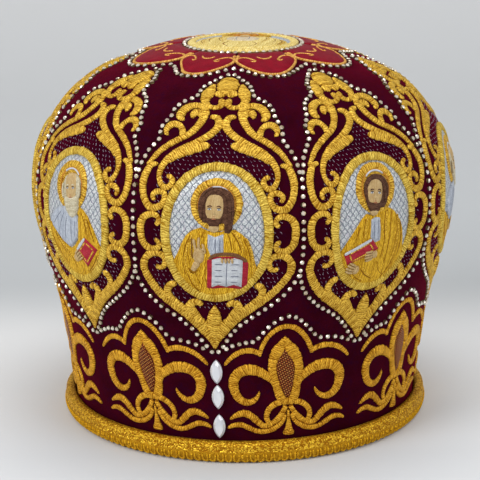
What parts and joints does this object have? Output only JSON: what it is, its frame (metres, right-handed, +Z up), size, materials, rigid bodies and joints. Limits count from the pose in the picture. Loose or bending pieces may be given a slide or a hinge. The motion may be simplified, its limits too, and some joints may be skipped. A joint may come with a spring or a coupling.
{
  "type": "bishop's mitre",
  "caption": "Round eight-panelled velvet bishop's mitre with raised gold embroidery, oval icon medallions, rhinestone rows and a padded braid rim.",
  "frame": {"origin": "centre of the flat ring that the mitre rests on, under its rim", "axes": "+Z up through the top medallion, -Y towards the front panel, which has the column of pointed stones"},
  "size_m": [0.2414, 0.2414, 0.2132],
  "materials": {
    "velvet": "dark burgundy pile velvet",
    "gold_thread": "glossy gold satin stitch over padding",
    "lurex_braid": "sparkling gold lurex knit with looped edge",
    "icon_embroidery": "gold and silver-white machine embroidery",
    "crimson_lame": "crimson satin with gold outline stitches",
    "rhinestone": "clear foil-backed cut glass in metal cups",
    "pearl_glass": "white pearl cut glass"
  },
  "bodies": {
    "root": {"crown_shell": "velvet", "rim_braid": "lurex_braid", "top_medallion": "icon_embroidery", "petal_1": "crimson_lame", "petal_2": "crimson_lame", "petal_3": "crimson_lame", "petal_4": "crimson_lame", "petal_5": "crimson_lame", "petal_6": "crimson_lame", "petal_7": "crimson_lame", "petal_8": "crimson_lame", "cartouche_1": "gold_thread", "cartouche_2": "gold_thread", "cartouche_3": "gold_thread", "cartouche_4": "gold_thread", "cartouche_5": "gold_thread", "cartouche_6": "gold_thread", "cartouche_7": "gold_thread", "cartouche_8": "gold_thread", "icon_medallion_1": "icon_embroidery", "icon_medallion_2": "icon_embroidery", "icon_medallion_3": "icon_embroidery", "icon_medallion_4": "icon_embroidery", "icon_medallion_5": "icon_embroidery", "icon_medallion_6": "icon_embroidery", "icon_medallion_7": "icon_embroidery", "icon_medallion_8": "icon_embroidery", "fleur_1": "gold_thread", "fleur_2": "gold_thread", "fleur_3": "gold_thread", "fleur_4": "gold_thread", "fleur_5": "gold_thread", "fleur_6": "gold_thread", "fleur_7": "gold_thread", "fleur_8": "gold_thread", "arch_1": "gold_thread", "arch_2": "gold_thread", "arch_3": "gold_thread", "arch_4": "gold_thread", "arch_5": "gold_thread", "arch_6": "gold_thread", "arch_7": "gold_thread", "arch_8": "gold_thread", "pointed_stone_1": "pearl_glass", "pointed_stone_2": "pearl_glass", "pointed_stone_3": "pearl_glass", "arch_stone_row": "rhinestone", "petal_stone_row": "rhinestone", "top_stone_row": "rhinestone", "crown_stone_net": "rhinestone"}
  },
  "joints": []
}
